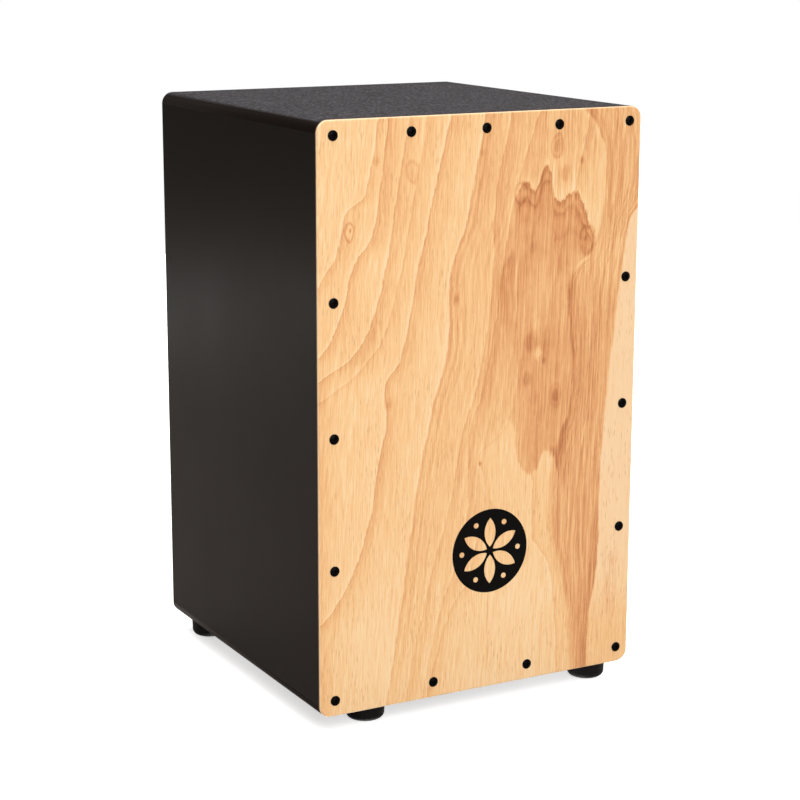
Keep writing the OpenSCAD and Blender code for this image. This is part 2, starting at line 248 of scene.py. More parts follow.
class Paint:
    """A material and its Principled shader, with short calls for the nodes that this object needs."""

    def __init__(self, name, **plain):
        self.material = bpy.data.materials.new(name)
        self.material.use_nodes = True
        self.tree = self.material.node_tree
        self.shader = self.tree.nodes["Principled BSDF"]
        for socket, value in plain.items():
            self.shader.inputs[socket.replace("_", " ")].default_value = value

    def node(self, kind, **settings):
        """A new node with its settings."""
        node = self.tree.nodes.new(kind)
        for name, value in settings.items():
            setattr(node, name, value)
        return node

    def feed(self, socket, value):
        """Gives an input a number worked out by nodes, another node's output, or a plain value."""
        if isinstance(value, Num):
            value = value.socket
        if isinstance(value, bpy.types.NodeSocket):
            self.tree.links.new(value, socket)
        else:
            socket.default_value = value

    def set(self, name, value):
        """Gives one of the shader's own inputs a value."""
        self.feed(self.shader.inputs[name], value)

    def split(self, vector):
        """The parts of a vector along x, y and z."""
        node = self.node("ShaderNodeSeparateXYZ")
        self.feed(node.inputs[0], vector)
        return [Num(self, out) for out in node.outputs]

    def place(self):
        """x, y and z in the row frame at rest, in millimetres; they move with the piece."""
        where = self.node("ShaderNodeTexCoord")
        return [part * (1 / MM) for part in self.split(where.outputs["Object"])]

    def facing(self, axis):
        """How far the surface faces along x, y or z (0, 1 or 2), from -1 to 1."""
        where = self.node("ShaderNodeNewGeometry")
        return self.split(where.outputs["True Normal"])[axis]

    def vector(self, x, y, z):
        """One vector from its three parts."""
        join = self.node("ShaderNodeCombineXYZ")
        for socket, value in zip(join.inputs, (x, y, z)):
            self.feed(socket, value)
        return join.outputs[0]

    def noise(self, x, y, z, detail=2.0, roughness=0.5):
        """Noise from 0 to 1 with features one unit across."""
        node = self.node("ShaderNodeTexNoise", noise_dimensions="3D")
        self.feed(node.inputs["Vector"], self.vector(x, y, z))
        for name, value in (("Scale", 1.0), ("Detail", detail), ("Roughness", roughness)):
            node.inputs[name].default_value = value
        return Num(self, node.outputs["Fac"])

    def cells(self, x, y, z):
        """Distance to the middle of the nearest random cell one unit across."""
        node = self.node("ShaderNodeTexVoronoi")
        self.feed(node.inputs["Vector"], self.vector(x, y, z))
        node.inputs["Scale"].default_value = 1.0
        return Num(self, node.outputs["Distance"])

    def curve(self, value, points, start, end):
        """A smooth curve through points of (value, result), with value running from start to end."""
        node = self.node("ShaderNodeFloatCurve")
        results = [result for _, result in points]
        low, high = min(results), max(results)
        line = node.mapping.curves[0]
        spots = [((at - start) / (end - start), (result - low) / (high - low)) for at, result in points]
        line.points[0].location = spots[0]
        line.points[-1].location = spots[-1]
        for spot in spots[1:-1]:
            line.points.new(*spot)
        for point in line.points:
            point.handle_type = "AUTO_CLAMPED"
        node.mapping.extend = "HORIZONTAL"
        node.mapping.update()
        self.feed(node.inputs["Value"], (value - start) * (1 / (end - start)))
        return Num(self, node.outputs[0]) * (high - low) + low

    def ramp(self, value, stops):
        """A colour for value, from stops of (value, (r, g, b)) in linear light."""
        node = self.node("ShaderNodeValToRGB")
        while len(node.color_ramp.elements) < len(stops):
            node.color_ramp.elements.new(1.0)
        for element, (at, colour) in zip(node.color_ramp.elements, stops):
            element.position = at
            element.color = (*colour, 1)
        self.feed(node.inputs[0], value)
        return node.outputs["Color"]

    def mix(self, share, first, second):
        """first where share is 0 and second where it is 1."""
        node = self.node("ShaderNodeMix", data_type="RGBA")
        self.feed(node.inputs["Factor"], share)
        for socket, colour in zip(colour_sockets(node.inputs), (first, second)):
            self.feed(socket, (*colour, 1) if isinstance(colour, tuple) else colour)
        return colour_sockets(node.outputs)[0]

    def bump(self, height):
        """Relief from a height in millimetres."""
        node = self.node("ShaderNodeBump")
        node.inputs["Strength"].default_value = 1.0
        node.inputs["Distance"].default_value = MM
        self.feed(node.inputs["Height"], height)
        self.feed(self.shader.inputs["Normal"], node.outputs[0])


def srgb(r, g, b):
    """Linear light of a colour given as 0 to 255."""
    return tuple(c / 255 / 12.92 if c <= 10 else ((c / 255 + 0.055) / 1.055) ** 2.4 for c in (r, g, b))


def wear(names, paint):
    """Gives CAD nodes a material in place of their plain one."""
    for name in names:
        slots = NODES[name].data.materials
        slots.clear()
        slots.append(paint.material)


# ---------------------------------------------------------------- the veneer of the playing face

# The figure is drawn by lines, in millimetres from the left and lower edges of the playing face. A tone is
# 0 in the palest wood and 1 in the darkest.

# Growth rings: (tone at the bottom, tone at the top, fade, points), a point being (height, distance from
# the left edge). A ring starts with a dark edge, which fades to the right over the given width
RINGS = [
    (0.36, 0.34, 9, [(330, -15), (360, 4), (385, 19), (410, 25), (424, 42), (450, 48), (483, 54)]),
    (0.42, 0.42, 9, [(290, -15), (306, 8), (335, 22), (368, 31), (392, 48), (420, 54), (483, 62)]),
    (0.56, 0.30, 11, [(270, -15), (284, 8), (300, 34), (330, 50), (375, 62), (430, 71), (483, 81)]),
    (0.24, 0.20, 7, [(255, -15), (270, 14), (290, 42), (315, 60), (360, 73), (483, 97)]),
    (0.36, 0.44, 10, [(70, -15), (92, 14), (150, 42), (215, 55), (247, 61), (264, 59), (290, 73),
                      (370, 91), (483, 118)]),
    (0.20, 0.44, 36, [(0, 60), (80, 74), (170, 87), (240, 101), (318, 118), (340, 118), (400, 134),
                      (483, 150)]),
    (0.16, 0.30, 12, [(0, 78), (90, 98), (175, 122), (215, 129), (270, 146), (345, 158), (410, 160),
                      (483, 174)]),
    (0.20, 0.24, 10, [(0, 94), (60, 107), (120, 127), (165, 137), (205, 136), (260, 150), (330, 164),
                      (385, 172), (425, 181), (483, 201)]),
    (0.26, 0.0, 3, [(0, 99), (50, 112), (75, 122), (100, 138), (150, 150), (172, 154), (186, 152),
                    (199, 147), (214, 161), (232, 176), (260, 182)]),
    (0.26, 0.26, 5, [(0, 226), (62, 223), (98, 217), (118, 205), (135, 199), (200, 200), (483, 250)]),
]
# The dark flame right of the middle: left and right sides by height, lower and upper edges by distance
FLAME_LEFT = [(180, 192), (205, 183), (250, 183), (300, 180), (333, 164), (363, 172), (378, 179),
              (430, 180)]
FLAME_RIGHT = [(160, 222), (190, 226), (225, 234), (262, 239), (316, 235), (345, 236), (362, 250),
               (378, 256), (398, 248), (440, 226)]
FLAME_BELOW = [(150, 206), (166, 217), (177, 230), (182, 205), (196, 182), (204, 184), (212, 200),
               (217, 196), (224, 180), (230, 150)]
FLAME_ABOVE = [(172, 385), (181, 416), (190, 425), (197, 419), (208, 438), (214, 424), (222, 409),
               (232, 414), (245, 402), (254, 380)]
# The streaky band right of the flame, and the pale strip along the right edge
BAND_LEFT = [(0, 241), (38, 237), (62, 232), (98, 222), (128, 216), (160, 215), (190, 219), (212, 226),
             (246, 236), (268, 237), (300, 234), (330, 231), (360, 248), (408, 264), (440, 265),
             (462, 259), (483, 243)]
STRIP_LEFT = [(0, 257), (50, 259), (92, 266), (190, 268), (260, 274), (335, 283), (375, 288),
              (390, 292), (400, 300), (420, 312)]
# How far the figure leans to the right, by height. The streaks take a share of that lean by their distance
# from the left edge, and the fibres take the same small share everywhere
LEAN = [(0, -46), (90, -30), (170, -18), (250, -2), (320, 12), (345, 13), (400, 28), (483, 45)]
LEAN_SHARE = [(0, 1.0), (170, 0.75), (232, 0.1), (262, 0.12), (300, 0.3)]
FIBRE_LEAN = 0.12
# Small knots: (distance from the left edge, height, radius, tone of the core, tone of the ring). A step
# across counts for more than a step up in their distances, so that they stand tall
KNOTS = [
    (28, 396, 5.5, -0.12, 0.34), (28, 397, 2, 0.5, 0.0), (51, 450, 2.5, 0.25, 0.2),
    (62, 255, 4, 0.3, 0.1), (84, 440, 7, 0.08, 0.20), (124, 335, 4, 0.3, 0.1),
    (148, 196, 2.5, 0.5, 0.0), (147, 452, 3.5, 0.2, 0.0), (184, 417, 7, -0.1, 0.25),
    (217, 453, 7, 0.30, 0.30), (242, 441, 3, 0.45, 0.1), (226, 432, 9, 0.30, 0.0),
    (248, 376, 9, 0.15, 0.25), (247, 376, 3, 0.3, 0.0), (195, 293, 10, 0.26, 0.0),
    (204, 284, 7, -0.34, 0.0), (209, 277, 4, 0.26, 0.0), (192, 262, 8, 0.24, 0.0),
    (220, 245, 8, 0.34, 0.14), (218, 198, 6, 0.22, 0.0), (196, 371, 7, 0.2, 0.0),
]
KNOT_ACROSS, KNOT_UP = 1.7, 0.65
# How much the swirls and the ragged fibres bend a knot, the part of its radius where its core is full, and
# the width of its ring, all as shares of its radius
KNOT_SWIRL, KNOT_RAGGED, KNOT_CORE, KNOT_RING = 1.3, 0.8, 0.3, 0.34

# How far the fibres swerve, how far fibre ends and raggedness shift the place where the figure's edges are
# looked up, and how much raggedness warps the swirls
SWERVE = 6.0
RAGGED_ACROSS, FIBRES_ACROSS = 6.0, 2.4
RAGGED_UP, FIBRES_UP = 14.0, 16.0
SWIRL_SCALE, SWIRL_WARP = 0.07, 0.8

# What each part of the figure adds, and where. A span of two numbers runs from none of it to all of it, and
# one of four from none to all and back. _UP is a span of heights, _ACROSS of distances from the left edge,
# and _EDGE of distances past the part's own edge, all in millimetres

# The ground, cloudy, and paler at its foot
GROUND_TONE, GROUND_CLOUDS = 0.08, 0.20
FOOT_PALER, FOOT_UP, FOOT_ACROSS = 0.08, (170, 50), (240, 195)

# A ring: paler wood before its dark edge, ripples behind it, and threads if its fade is over WIDE_RING
RING_EDGE = (-0.35, 0.35)
RING_PALE, RING_PALE_EDGE = 0.30, (-5.0, -0.5)
RIPPLES, RIPPLE_RATE = 0.16, 6.0
WIDE_RING, RING_THREADS, RING_THREADS_FADE = 30, 0.85, 50

# The flame: mottled, darker under its crest and low down, with its left side blurred at mid height. Its hem
# is its lower edge
FLAME_LEFT_EDGE, FLAME_RIGHT_EDGE = (-3.0, 2.0), (-2.5, 2.0)
CREST_EDGE, HEM_EDGE = (-0.8, 1.2), (-1.0, 2.0)
FLAME_BLUR, FLAME_BLUR_UP = 3.5, (215, 245, 325, 355)
FLAME_TONE, FLAME_MOTTLE = 0.26, 0.5
FLAME_UNDER_CREST, UNDER_CREST_FADE = 0.40, 60
FLAME_LOWER, FLAME_LOWER_UP = 0.16, (318, 290)

# The crest: a dark line on it, a pale halo over it, and contour lines under it, each (distance from the
# crest, half width of its core, reach, strength), where a pale line's strength is negative
CREST_ACROSS = (176, 184, 250, 258)
CREST_LINE, CREST_LINE_UP = 0.09, (340, 380)
CREST_HALO, CREST_HALO_UP = 0.14, (385, 400)
CONTOUR_TONE, CONTOUR_RAGGED, CONTOUR_SWIRL, CONTOUR_FIBRES = 0.30, 8.0, 20.0, 12.0
CONTOURS = [(7.5, 1.0, 4.5, -0.9), (13, 0.4, 3.0, 0.8), (22, 1.0, 5.0, -0.4), (31, 0.5, 4.5, 0.5)]

# The band: streaky, with its left side blurred low down. Its dark core runs along its left side, thinner at
# the top, and changes to its right side at the foot
BAND_LEFT_EDGE, BAND_RIGHT_EDGE = (-1.0, 2.5), (1.0, -1.0)
BAND_BLUR, BAND_BLUR_UP = 3.0, (260, 120)
BAND_TONE, BAND_THREADS, BAND_THREAD_COUNT = 0.28, 0.9, 17
BAND_FOOT, BAND_FOOT_UP = 0.10, (230, 180)
CORE_TONE, CORE_FADE, CORE_UP = 0.26, 24, (150, 230, 300, 370)
CORE_TOP_SHARE, CORE_TOP_FADE, CORE_TOP_UP = 0.6, 9, (370, 400)
CORE_FOOT_FADE, CORE_FOOT_UP = 13, (190, 90)

# The soft regions beside the flame: the apron left of it and the brow above it
APRON_TONE, APRON_ACROSS, APRON_UP = 0.10, (148, 158, 182, 192), (400, 330)
BROW_TONE, BROW_ACROSS, BROW_UP, BROW_EDGE = 0.12, (185, 205), (400, 430), (0.0, -6.0)

# The pale strip: its outline high up, its darker foot, and a few streaks low down
STRIP_EDGE = (-0.6, 0.6)
STRIP_LINE, STRIP_LINE_UP = 0.22, (320, 360)
STRIP_FOOT, STRIP_FOOT_UP = 0.16, (110, 20)
STRIP_STREAKS, STREAKS_MIDDLE, STREAKS_UP = 0.34, 281, (36, 60, 92, 122)

# How much of what lies under them the strip and the flame cover
STRIP_COVERS, FLAME_COVERS = 0.7, 0.55

# Fibres: on the ground, what the parts of the figure add to that, and the seam in the plate's foot
BUSY_GROUND, BUSY_FLAME, BUSY_BAND, BUSY_APRON, BUSY_BROW = 0.46, 0.22, 0.40, 0.30, 0.40
COARSE_FIBRES, FINE_FIBRES, FINE_LESS_IN_FLAME = 1.7, 1.2, 0.4
SEAM_TONE, SEAM_MIDDLE, SEAM_UP = 0.2, 157, (12, 30, 70, 88)

# Colours by tone, and of the pores, the bare ply at the back, the rounded rim and the stained side
WOOD = [(0.0, srgb(253, 220, 175)), (0.09, srgb(250, 211, 158)), (0.28, srgb(245, 197, 140)),
        (0.58, srgb(230, 168, 114)), (0.88, srgb(206, 138, 88)), (1.0, srgb(186, 119, 73))]
CHALK = [(0.0, srgb(250, 216, 173)), (0.25, srgb(245, 204, 157)), (0.6, srgb(234, 180, 132))]
PORE = srgb(192, 132, 78)
PLY = [(0.3, srgb(226, 190, 142)), (0.7, srgb(198, 156, 108))]
RIM = srgb(250, 220, 180)
STAIN = srgb(52, 30, 20)
# The face looks up its colour at a slightly higher tone. Chalk takes most of the strip above its foot
TONE_SHIFT = 0.08
CHALK_SHARE, CHALK_UP, PORE_SHARE = 0.85, (30, 110), 0.4
# Spans of how much a surface faces the back, for the ply, and front or back, for the plate's side
BACK_TURN, SIDE_TURN = (0.3, 0.7), (0.5, 0.2)
# Spans of depths from the front, in millimetres, for the rim and the stain
RIM_SHARE, RIM_DEPTH, STAIN_DEPTH = 0.6, (0.04, 0.4, 1.2, 1.5), (1.2, 1.6)


class Veneer(Paint):
    """Clear-lacquered veneer with growth rings, a dark flame, knots, fibres and pores."""

    def __init__(self):
        super().__init__("veneer", IOR=1.48)
        x, y, z = self.place()
        self.across = x - FACE_LOW.x / MM
        self.up = z - FACE_LOW.z / MM
        self.depth = y - FACE_LOW.y / MM
        self.make_fields()
        self.make_regions()

    def field(self, place, across_scale, up_scale, seed, detail=3.0, roughness=0.6):
        """Noise over the face with this many features a millimetre, different for each seed."""
        return self.noise(place * across_scale, seed, self.up * up_scale, detail=detail, roughness=roughness)

    def line(self, points):
        """Distance from the left edge of a line given by height."""
        return self.curve(self.up, points, 0.0, PLATE_H)

    def edge(self, points):
        """Height of an edge given by distance from the left edge."""
        return self.curve(self.spot, points, 0.0, PLATE_W)

    def make_fields(self):
        """Random fields: fibres stand nearly upright, streaks lean with the figure, the rest is cloudy."""
        swerve = self.field(self.across, 0.02, 0.012, seed=11.0, detail=2.0, roughness=0.5) * SWERVE
        lean = self.line(LEAN)
        grain = self.across + swerve - lean * FIBRE_LEAN
        along = self.across + swerve - lean * self.curve(self.across, LEAN_SHARE, 0.0, PLATE_W)
        self.fine = self.field(grain, 1.7, 0.05, seed=3.0, roughness=0.75)
        self.fibre = self.field(grain, 0.8, 0.018, seed=5.0, roughness=0.7)
        self.streak = self.field(along, 0.30, 0.006, seed=9.0, detail=4.0, roughness=0.68)
        self.cloud = self.field(self.across, 0.03, 0.018, seed=17.0, detail=4.0)
        self.ragged = self.field(self.across, 0.12, 0.045, seed=25.0, detail=5.0, roughness=0.62)
        warped = self.across + self.ragged * (SWIRL_WARP / SWIRL_SCALE)
        self.swirl = self.field(warped, SWIRL_SCALE, 0.04, seed=41.0)
        pores = self.cells(grain * 0.55, 5.0, self.up * 0.075)
        self.pores = pores.rise(0.30, 0.14) * self.cloud.rise(0.38, 0.62)

        # The edges of the figure are looked up at a shifted place, so that fibre ends feather them
        ragged, fibre = self.ragged - 0.5, self.fibre - 0.5
        self.spot = self.across + ragged * RAGGED_ACROSS + fibre * FIBRES_ACROSS
        self.level = self.up + ragged * RAGGED_UP + fibre * FIBRES_UP

    def make_regions(self):
        """The regions of the figure, 1 inside and 0 outside, and the distances from their edges."""
        spot, up = self.spot, self.up
        self.past_band = spot - self.line(BAND_LEFT)
        self.past_strip = spot - self.line(STRIP_LEFT)
        self.below_crest = self.edge(FLAME_ABOVE) - self.level
        hem = (self.level - self.edge(FLAME_BELOW)).rise(*HEM_EDGE)

        blur = up.within(*FLAME_BLUR_UP) * FLAME_BLUR + 1.0
        left = ((spot - self.line(FLAME_LEFT)) / blur).rise(*FLAME_LEFT_EDGE)
        right = (self.line(FLAME_RIGHT) - spot).rise(*FLAME_RIGHT_EDGE)
        self.flame = left * right * hem * self.below_crest.rise(*CREST_EDGE)

        blur = up.rise(*BAND_BLUR_UP) * BAND_BLUR + 1.0
        self.band = (self.past_band / blur).rise(*BAND_LEFT_EDGE) * self.past_strip.rise(*BAND_RIGHT_EDGE)
        self.strip = self.past_strip.rise(*STRIP_EDGE)

        self.apron = hem * spot.within(*APRON_ACROSS) * up.rise(*APRON_UP)
        self.brow = up.rise(*BROW_UP) * self.across.rise(*BROW_ACROSS) * self.past_band.rise(*BROW_EDGE)

    def ground_tone(self):
        """Plain wood, cloudy, and paler near the foot of the plate."""
        foot = self.up.rise(*FOOT_UP) * self.across.rise(*FOOT_ACROSS)
        return GROUND_TONE + (self.cloud - 0.5) * GROUND_CLOUDS - foot * FOOT_PALER

    def ring_tone(self, low, high, fade, points):
        """One growth ring: a pale line, then a dark edge and a rippled fade."""
        past = self.spot - self.line(points)
        dark = past.rise(*RING_EDGE)
        ripple = (past * (RIPPLE_RATE / fade ** 0.5)).op("SINE") * RIPPLES + (1.0 - RIPPLES)
        pale = past.rise(*RING_PALE_EDGE) * (1.0 - dark) * RING_PALE
        strength = self.up * ((high - low) / PLATE_H) + low
        tone = (dark * past.decay(fade) * ripple - pale) * strength
        if fade > WIDE_RING:
            threads = self.field(past, 0.42, 0.004, seed=61.0)
            tone = tone + dark * past.decay(RING_THREADS_FADE) * (threads - 0.5) * RING_THREADS
        return tone

    def flame_tone(self):
        """The flame is dark under its crest and mottled lower down."""
        crest = self.below_crest.decay(UNDER_CREST_FADE) * FLAME_UNDER_CREST
        tone = crest + self.up.rise(*FLAME_LOWER_UP) * FLAME_LOWER + FLAME_TONE
        return self.flame * (tone + (self.swirl - 0.5) * FLAME_MOTTLE)

    def band_tone(self):
        """The streaky band, with threads as wide as the band is, and the soft regions beside the flame."""
        up = self.up
        width = self.past_band - self.past_strip
        threads = self.field(self.past_band / width, BAND_THREAD_COUNT, 0.004, seed=71.0)
        core = self.past_band.decay(CORE_FADE) * up.within(*CORE_UP)
        core = core + self.past_band.decay(CORE_TOP_FADE) * up.rise(*CORE_TOP_UP) * CORE_TOP_SHARE
        core = core + (-self.past_strip).decay(CORE_FOOT_FADE) * up.rise(*CORE_FOOT_UP)
        tone = core * CORE_TONE + up.rise(*BAND_FOOT_UP) * BAND_FOOT + BAND_TONE
        tone = self.band * (tone + (threads - 0.5) * BAND_THREADS)
        return tone + self.apron * (1.0 - self.flame) * APRON_TONE + self.brow * BROW_TONE

    def strip_tone(self):
        """The strip's dark outline high up, its darker foot, and a few streaks in it low down."""
        up = self.up
        outline = self.past_strip.stripe(-1.0, 0.4, 2.2) * up.rise(*STRIP_LINE_UP)
        streaks = self.fine.rise(0.44, 0.56) * self.spot.stripe(STREAKS_MIDDLE, 3.0, 9.0)
        streaks = streaks * up.within(*STREAKS_UP)
        inside = up.rise(*STRIP_FOOT_UP) * STRIP_FOOT + streaks * STRIP_STREAKS
        return outline * STRIP_LINE + self.strip * inside

    def crest_tone(self):
        """A dark line and a pale halo along the flame's crest, and contour lines below."""
        up = self.up
        line = self.below_crest.stripe(0.5, 0.2, 2.6) * up.rise(*CREST_LINE_UP)
        halo = self.below_crest.within(-12.0, -1.0, -1.0, 1.0) * up.rise(*CREST_HALO_UP)

        # The contours follow the crest more loosely than its own line does
        spot = self.across + (self.ragged - 0.5) * CONTOUR_RAGGED
        under = self.curve(spot, FLAME_ABOVE, 0.0, PLATE_W) - up
        under = under - (self.swirl - 0.5) * CONTOUR_SWIRL - (self.fibre - 0.5) * CONTOUR_FIBRES
        contours = 0.0
        for at, core, reach, strength in CONTOURS:
            contours = contours + under.stripe(at, core, reach) * strength
        contours = contours * self.flame * self.swirl
        tone = line * CREST_LINE - halo * CREST_HALO + contours * CONTOUR_TONE
        return self.across.within(*CREST_ACROSS) * tone

    def knot_tone(self, at, height, radius, middle, ring):
        """One small knot, taller than it is wide."""
        aside = self.spot - at
        above = self.up - height
        off = (aside * aside * KNOT_ACROSS + above * above * KNOT_UP).op("SQRT")
        off = off + (self.swirl - 0.5) * (radius * KNOT_SWIRL)
        off = off + (self.ragged - 0.5) * (radius * KNOT_RAGGED)
        tone = off.rise(radius, radius * KNOT_CORE) * middle
        if ring:
            tone = tone + off.stripe(radius, 0.0, radius * KNOT_RING) * ring
        return tone

    def fibre_tone(self):
        """Streaks and fibres, strongest in the dark regions, and the seam at the foot of the plate."""
        busy = self.flame * BUSY_FLAME + self.band * BUSY_BAND + BUSY_GROUND
        busy = busy + self.apron * BUSY_APRON + self.brow * BUSY_BROW
        tone = ((self.streak - 0.5) + (self.fibre - 0.5) * COARSE_FIBRES) * busy
        seam = self.spot.stripe(SEAM_MIDDLE, 0.2, 1.6) * self.up.within(*SEAM_UP)
        fine = (self.fine - 0.5) * (FINE_FIBRES - self.flame * FINE_LESS_IN_FLAME)
        return tone + fine + seam * SEAM_TONE

    def tone(self):
        """All parts of the figure together. The strip and the flame cover most of what lies under them."""
        tone = self.ground_tone()
        for ring in RINGS:
            tone = tone + self.ring_tone(*ring)
        tone = tone * (1.0 - self.strip * STRIP_COVERS) * (1.0 - self.flame * FLAME_COVERS)
        tone = tone + self.flame_tone() + self.band_tone() + self.strip_tone() + self.crest_tone()
        for knot in KNOTS:
            tone = tone + self.knot_tone(*knot)
        return tone + self.fibre_tone()

    def face_colour(self, tone):
        """The face's colour for its tone, chalkier in the strip, with dark pores."""
        colour = self.ramp(tone + TONE_SHIFT, WOOD)
        chalky = self.strip * self.up.rise(*CHALK_UP) * CHALK_SHARE
        colour = self.mix(chalky, colour, self.ramp(tone, CHALK))
        return self.mix(self.pores * PORE_SHARE, colour, PORE)

    def side_colour(self, colour):
        """Plain ply at the back, a paler rounded rim, and a dark stain round the plate's side."""
        turned = self.facing(1)
        ply = self.ramp(self.streak * 0.6 + self.fibre * 0.4, PLY)
        colour = self.mix(turned.rise(*BACK_TURN), colour, ply)
        colour = self.mix(self.depth.within(*RIM_DEPTH) * RIM_SHARE, colour, RIM)
        return self.mix(self.depth.rise(*STAIN_DEPTH) * abs(turned).rise(*SIDE_TURN), colour, STAIN)


def make_veneer():
    """The playing face's veneer, with a satin lacquer that sinks a little into fibres and pores."""
    veneer = Veneer()
    veneer.set("Base Color", veneer.side_colour(veneer.face_colour(veneer.tone())))
    veneer.set("Roughness", 0.40 + (veneer.fibre - 0.5) * 0.16 + veneer.pores * 0.12)
    veneer.bump((veneer.fine - 0.5) * 0.02 + (veneer.fibre - 0.5) * 0.02 - veneer.pores * 0.03)
    wear(["front_plate"], veneer)


# ---------------------------------------------------------------- the other materials

PANELS = ["rear_panel", "left_side_panel", "right_side_panel", "top_panel", "bottom_panel"]
UPRIGHT_BATTENS = ["front_batten_left", "front_batten_right"]
LEVEL_BATTENS = ["front_batten_top", "front_batten_bottom", "snare_bar"]
GLUE_BLOCKS = [f"glue_block_{end}_{side}" for end in ("top", "bottom") for side in ("left", "right")]
FACE_SCREWS = [f"face_screws_{row}" for row in ("top", "bottom", "left", "right")]
ZINC_PARTS = ["snare_plate_left", "snare_plate_right", "snare_plate_screws", "foot_washers", "foot_screws"]
SNARE_WIRES = ["snare_wires_left", "snare_wires_right"]
FEET = [f"foot_{end}_{side}" for end in ("front", "rear") for side in ("left", "right")]

LACQUER = [(0.3, srgb(21, 15, 12)), (0.7, srgb(28, 21, 17))]
# The seat's grains, dark to pale: a real anti-slip coat, painted paler than the lacquer as painted top
# light, and paler on high grains as painted sheen
SEAT_GRAINS_AND_SHEEN = [(0.38, srgb(30, 29, 31)), (0.5, srgb(62, 60, 63)), (0.62, srgb(104, 101, 105))]
RAW_BOARD = [(0.3, srgb(118, 90, 62)), (0.55, srgb(152, 120, 86)), (0.75, srgb(176, 146, 108))]
PINE = [(0.1, srgb(228, 200, 156)), (0.6, srgb(211, 174, 124)), (1.0, srgb(176, 129, 80))]
RUBBER = [(0.35, srgb(9, 9, 9)), (0.7, srgb(19, 19, 20))]

# The lacquer reaches this far in from the outside of a side panel and of the rear panel, in millimetres
SIDE_LACQUER, REAR_LACQUER = 8.0, 1.0
METAL_SCRATCH = 0.004


def make_box_paint():
    """Satin black over fibreboard, raw board inside, and a fine anti-slip texture on the seat with painted
    light on it.
    """
    paint = Paint("black_lacquer", Specular_IOR_Level=0.07, Specular_Tint=(1.0, 0.90, 0.83, 1.0))
    x, y, z = paint.place()
    grain = paint.noise(x * 1.6, y * 1.6, z * 1.6, detail=3.0)
    patch = paint.noise(x * 0.012, y * 0.012, z * 0.012, detail=3.0)
    coarse = paint.noise(x * 0.42, y * 0.32, z * 0.4, detail=2.0)
    beads = coarse * 0.45 + paint.noise(x * 1.3, y * 1.3, z * 1.3, detail=3.0, roughness=0.7) * 0.55
    seat = paint.facing(2).rise(0.75, 0.97) * (z - (TOP_HIGH.z / MM - 3.0)).rise(0.0, 2.0)

    # Raw board wherever a point lies inside the outer skin of the box
    half_width = -SIDE_LOW.x / MM - SIDE_LACQUER
    half_height = PLATE_H / 2 - SIDE_LACQUER
    middle = (SIDE_LOW.z + SIDE_HIGH.z) / 2 / MM
    rear = REAR_HIGH.y / MM - REAR_LACQUER
    raw = abs(x).rise(half_width, half_width - 0.7) * abs(z - middle).rise(half_height, half_height - 0.7)
    raw = raw * y.rise(rear, rear - 0.4)
    board = paint.noise(x * 0.5, y * 0.5, z * 0.5, detail=4.0) * 0.4 + grain * 0.6
    # The seat's colour is painted light: paler grey for the top light, with painted sheen on the high grains
    # and darker hollows between them
    black = paint.mix(seat, paint.ramp(grain, LACQUER), paint.ramp(beads, SEAT_GRAINS_AND_SHEEN))
    paint.set("Base Color", paint.mix(raw, black, paint.ramp(board, RAW_BOARD)))
    paint.set("Roughness", 0.33 + (patch - 0.5) * 0.10 + (grain - 0.5) * 0.06 + seat * 0.25 + raw * 0.5)
    paint.bump((grain - 0.5) * 0.012 + seat * (beads - 0.5) * 1.2)
    wear(PANELS, paint)


def stretched(places, scale, axis, axis_scale):
    """Places scaled alike but for one axis."""
    return [place * (axis_scale if i == axis else scale) for i, place in enumerate(places)]


def make_pine(name, nodes, axis):
    """Raw planed pine with its grain along one axis."""
    paint = Paint(name)
    places = paint.place()
    rings = paint.noise(*stretched(places, 0.42, axis, 0.018), detail=2.0)
    bands = (rings * 34.0).op("SINE") * 0.5 + 0.5
    fibre = paint.noise(*stretched(places, 2.4, axis, 0.08), detail=3.0)
    paint.set("Base Color", paint.ramp(bands * 0.7 + fibre * 0.4, PINE))
    paint.set("Roughness", 0.62 + (fibre - 0.5) * 0.2)
    paint.bump((fibre - 0.5) * 0.06 + bands * 0.02)
    wear(nodes, paint)


def make_metal(name, nodes, light, dark, roughness, metallic=1.0, specular=0.5):
    """A metal, or a hard black coat, with fine scratches and cloudy gloss."""
    paint = Paint(name, Metallic=metallic, Specular_IOR_Level=specular)
    x, y, z = paint.place()
    cloud = paint.noise(x * 0.5, y * 0.5, z * 0.5, detail=3.0)
    rub = paint.noise(x * 5.0, y * 5.0, z * 0.8, detail=3.0)
    low, high = roughness
    paint.set("Base Color", paint.ramp(cloud, [(0.35, srgb(*dark)), (0.65, srgb(*light))]))
    paint.set("Roughness", cloud * (high - low) + low + (rub - 0.5) * 0.08)
    paint.bump((rub - 0.5) * METAL_SCRATCH)
    wear(nodes, paint)
    return paint


def make_rubber():
    """Moulded rubber with a fine matt skin."""
    paint = Paint("rubber", Specular_IOR_Level=0.2)
    x, y, z = paint.place()
    pits = paint.noise(x * 3.5, y * 3.5, z * 3.5, detail=4.0)
    patch = paint.noise(x * 0.12, y * 0.12, z * 0.12, detail=2.0)
    paint.set("Base Color", paint.ramp(pits * 0.5 + patch * 0.5, RUBBER))
    paint.set("Roughness", 0.58 + (pits - 0.5) * 0.2)
    paint.bump((pits - 0.5) * 0.05)
    wear(FEET, paint)


def ease_edges(nodes, width):
    """Takes the sharp edges of CAD nodes off by a width in millimetres, so that joints show."""
    for name in nodes:
        weld = NODES[name].modifiers.new("weld", "WELD")
        weld.merge_threshold = 0.01 * MM
        bevel = NODES[name].modifiers.new("ease", "BEVEL")
        bevel.width = width * MM
        bevel.segments = 2
        bevel.limit_method = "ANGLE"
        bevel.angle_limit = math.radians(40)


# ---------------------------------------------------------------- new pieces

